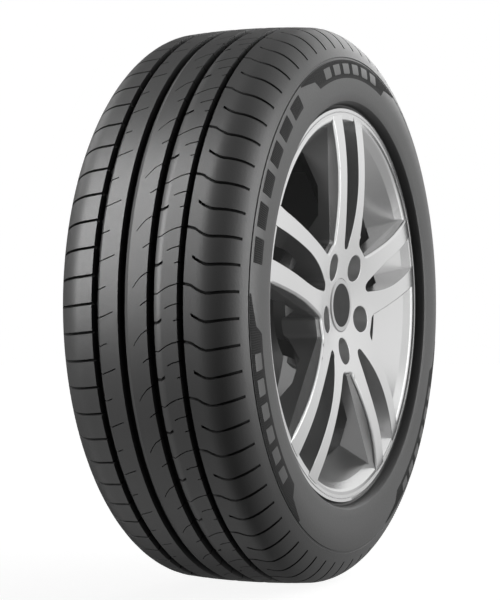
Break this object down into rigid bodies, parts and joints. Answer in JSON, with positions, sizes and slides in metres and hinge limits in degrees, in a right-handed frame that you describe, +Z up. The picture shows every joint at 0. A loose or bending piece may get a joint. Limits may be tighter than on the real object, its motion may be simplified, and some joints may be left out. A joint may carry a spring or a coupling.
{
  "type": "car wheel with tyre",
  "caption": "Road tyre with ring grooves and shoulder slots, fitted on a twin-spoke alloy wheel with a centre cap and a snap-in valve. Bolts to a car's hub and carries it on the road.",
  "frame": {"origin": "centre of the wheel on the tyre's middle plane", "axes": "Y is the spin axis, with the spoke face towards -Y and the car's hub towards +Y; +Z is up"},
  "size_m": [0.6799, 0.238, 0.68],
  "materials": {
    "tread_rubber": "matte",
    "silver_alloy": "satin lacquer",
    "cap_silver": "silver lacquer",
    "cap_dark": "gloss",
    "valve_rubber": "matte",
    "valve_brass": "turned",
    "valve_plastic": "matte"
  },
  "bodies": {
    "root": {"tyre": "tread_rubber", "alloy_wheel": "silver_alloy", "centre_cap": "cap_silver", "cap_insert": "cap_dark", "valve_stem": "valve_rubber", "valve_tube": "valve_brass", "valve_core": "valve_brass", "valve_cap": "valve_plastic"}
  },
  "joints": []
}
